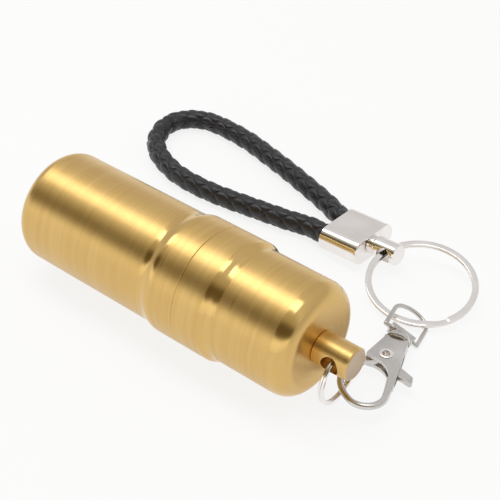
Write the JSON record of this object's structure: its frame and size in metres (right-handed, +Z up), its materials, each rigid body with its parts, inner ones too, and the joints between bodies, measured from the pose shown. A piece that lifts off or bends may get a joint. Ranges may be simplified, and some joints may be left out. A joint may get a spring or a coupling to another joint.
{
  "type": "pill fob keychain",
  "caption": "Screw-top metal pill capsule with a cross-drilled stud, small split ring, swivel trigger clasp, key ring and a looped braided leather wrist strap with a metal end cap",
  "frame": {"origin": "centre of the capsule's flat base, on the capsule's axis", "axes": "+X along the capsule from its base to the cap and stud, +Z up as the piece lies on a table, +Y toward the side where the key ring and strap lie; the table is 16.4 mm below the origin"},
  "size_m": [0.1275, 0.0914, 0.0329],
  "materials": {
    "gold_metal": "gold-anodised, brushed round the axis",
    "nickel_plate": "polished nickel plate on steel and zinc alloy",
    "seal_rubber": "matte",
    "black_leather": "smooth black leather, braided",
    "clear_glue": "set glue"
  },
  "bodies": {
    "cap": {"cap_shell": "gold_metal", "cap_thread_ring": "gold_metal", "cap_stud": "gold_metal", "stud_nut": "nickel_plate", "stud_seal_washer": "seal_rubber"},
    "seal": {"neck_seal_ring": "seal_rubber"},
    "vessel": {"vessel_shell": "gold_metal", "vessel_neck_ring": "gold_metal"},
    "small_ring": {"small_split_ring": "nickel_plate"},
    "clasp": {"clasp_hook": "nickel_plate", "lever_rivet": "nickel_plate", "lever_spring": "nickel_plate"},
    "lever": {"clasp_lever": "nickel_plate"},
    "swivel": {"swivel_head": "nickel_plate"},
    "d_ring": {"d_ring": "nickel_plate"},
    "key_ring": {"key_ring": "nickel_plate"},
    "post": {"strap_post": "nickel_plate", "post_washer": "nickel_plate"},
    "strap": {"strap_end_cap": "nickel_plate", "strap_end_plate": "nickel_plate", "strap_cord": "black_leather", "strap_glue_plug": "clear_glue"}
  },
  "joints": [
    {"name": "thread_travel", "type": "slide", "parent": "cap", "child": "seal", "axis": [-1, 0, 0], "range_m": [0, 0.01005]},
    {"name": "cap_unscrew", "type": "hinge", "parent": "seal", "child": "vessel", "pos_m": [0.03, 0, 0], "axis": [-1, 0, 0], "range_deg": [0, 1800]},
    {"name": "small_ring_swing", "type": "hinge", "parent": "cap", "child": "small_ring", "pos_m": [0.0955, 0, 0], "axis": [0, -0.9982, -0.06], "range_deg": [-8, 90]},
    {"name": "clasp_slide_round_ring", "type": "hinge", "parent": "small_ring", "child": "clasp", "pos_m": [0.0955, -0.0001, -0.0066], "axis": [-1, 0, 0], "range_deg": [-10, 40]},
    {"name": "lever_press", "type": "hinge", "parent": "clasp", "child": "lever", "pos_m": [0.09751, 0.01769, -0.0128], "axis": [-0.0175, 0.0675, 0.9976], "range_deg": [0, 16], "stiffness_Nm_per_rad": 0.001, "springref_deg": -8.59},
    {"name": "swivel_spin", "type": "hinge", "parent": "clasp", "child": "swivel", "pos_m": [0.09601, 0.02472, -0.0133], "axis": [0.2498, -0.9658, 0.0698], "continuous": true},
    {"name": "d_ring_flip", "type": "hinge", "parent": "swivel", "child": "d_ring", "pos_m": [0.09508, 0.02829, -0.01356], "axis": [0.8742, 0.1939, -0.4451], "range_deg": [-35, 45]},
    {"name": "key_ring_turn", "type": "hinge", "parent": "d_ring", "child": "key_ring", "pos_m": [0.08875, 0.0472, -0.0122], "axis": [0.0844, -0.1192, 0.9893], "range_deg": [-50, 10]},
    {"name": "post_swing", "type": "hinge", "parent": "key_ring", "child": "post", "pos_m": [0.0754, 0.0512, -0.0107], "axis": [0.0698, 0.9976, 0], "range_deg": [-50, 50]},
    {"name": "strap_spin", "type": "hinge", "parent": "post", "child": "strap", "pos_m": [0.0754, 0.0512, -0.0107], "axis": [0.9921, -0.0694, 0.1045], "continuous": true}
  ],
  "couplings": [
    {"joint": "thread_travel", "follows": "cap_unscrew", "m_per_rad": 0.00031831}
  ]
}
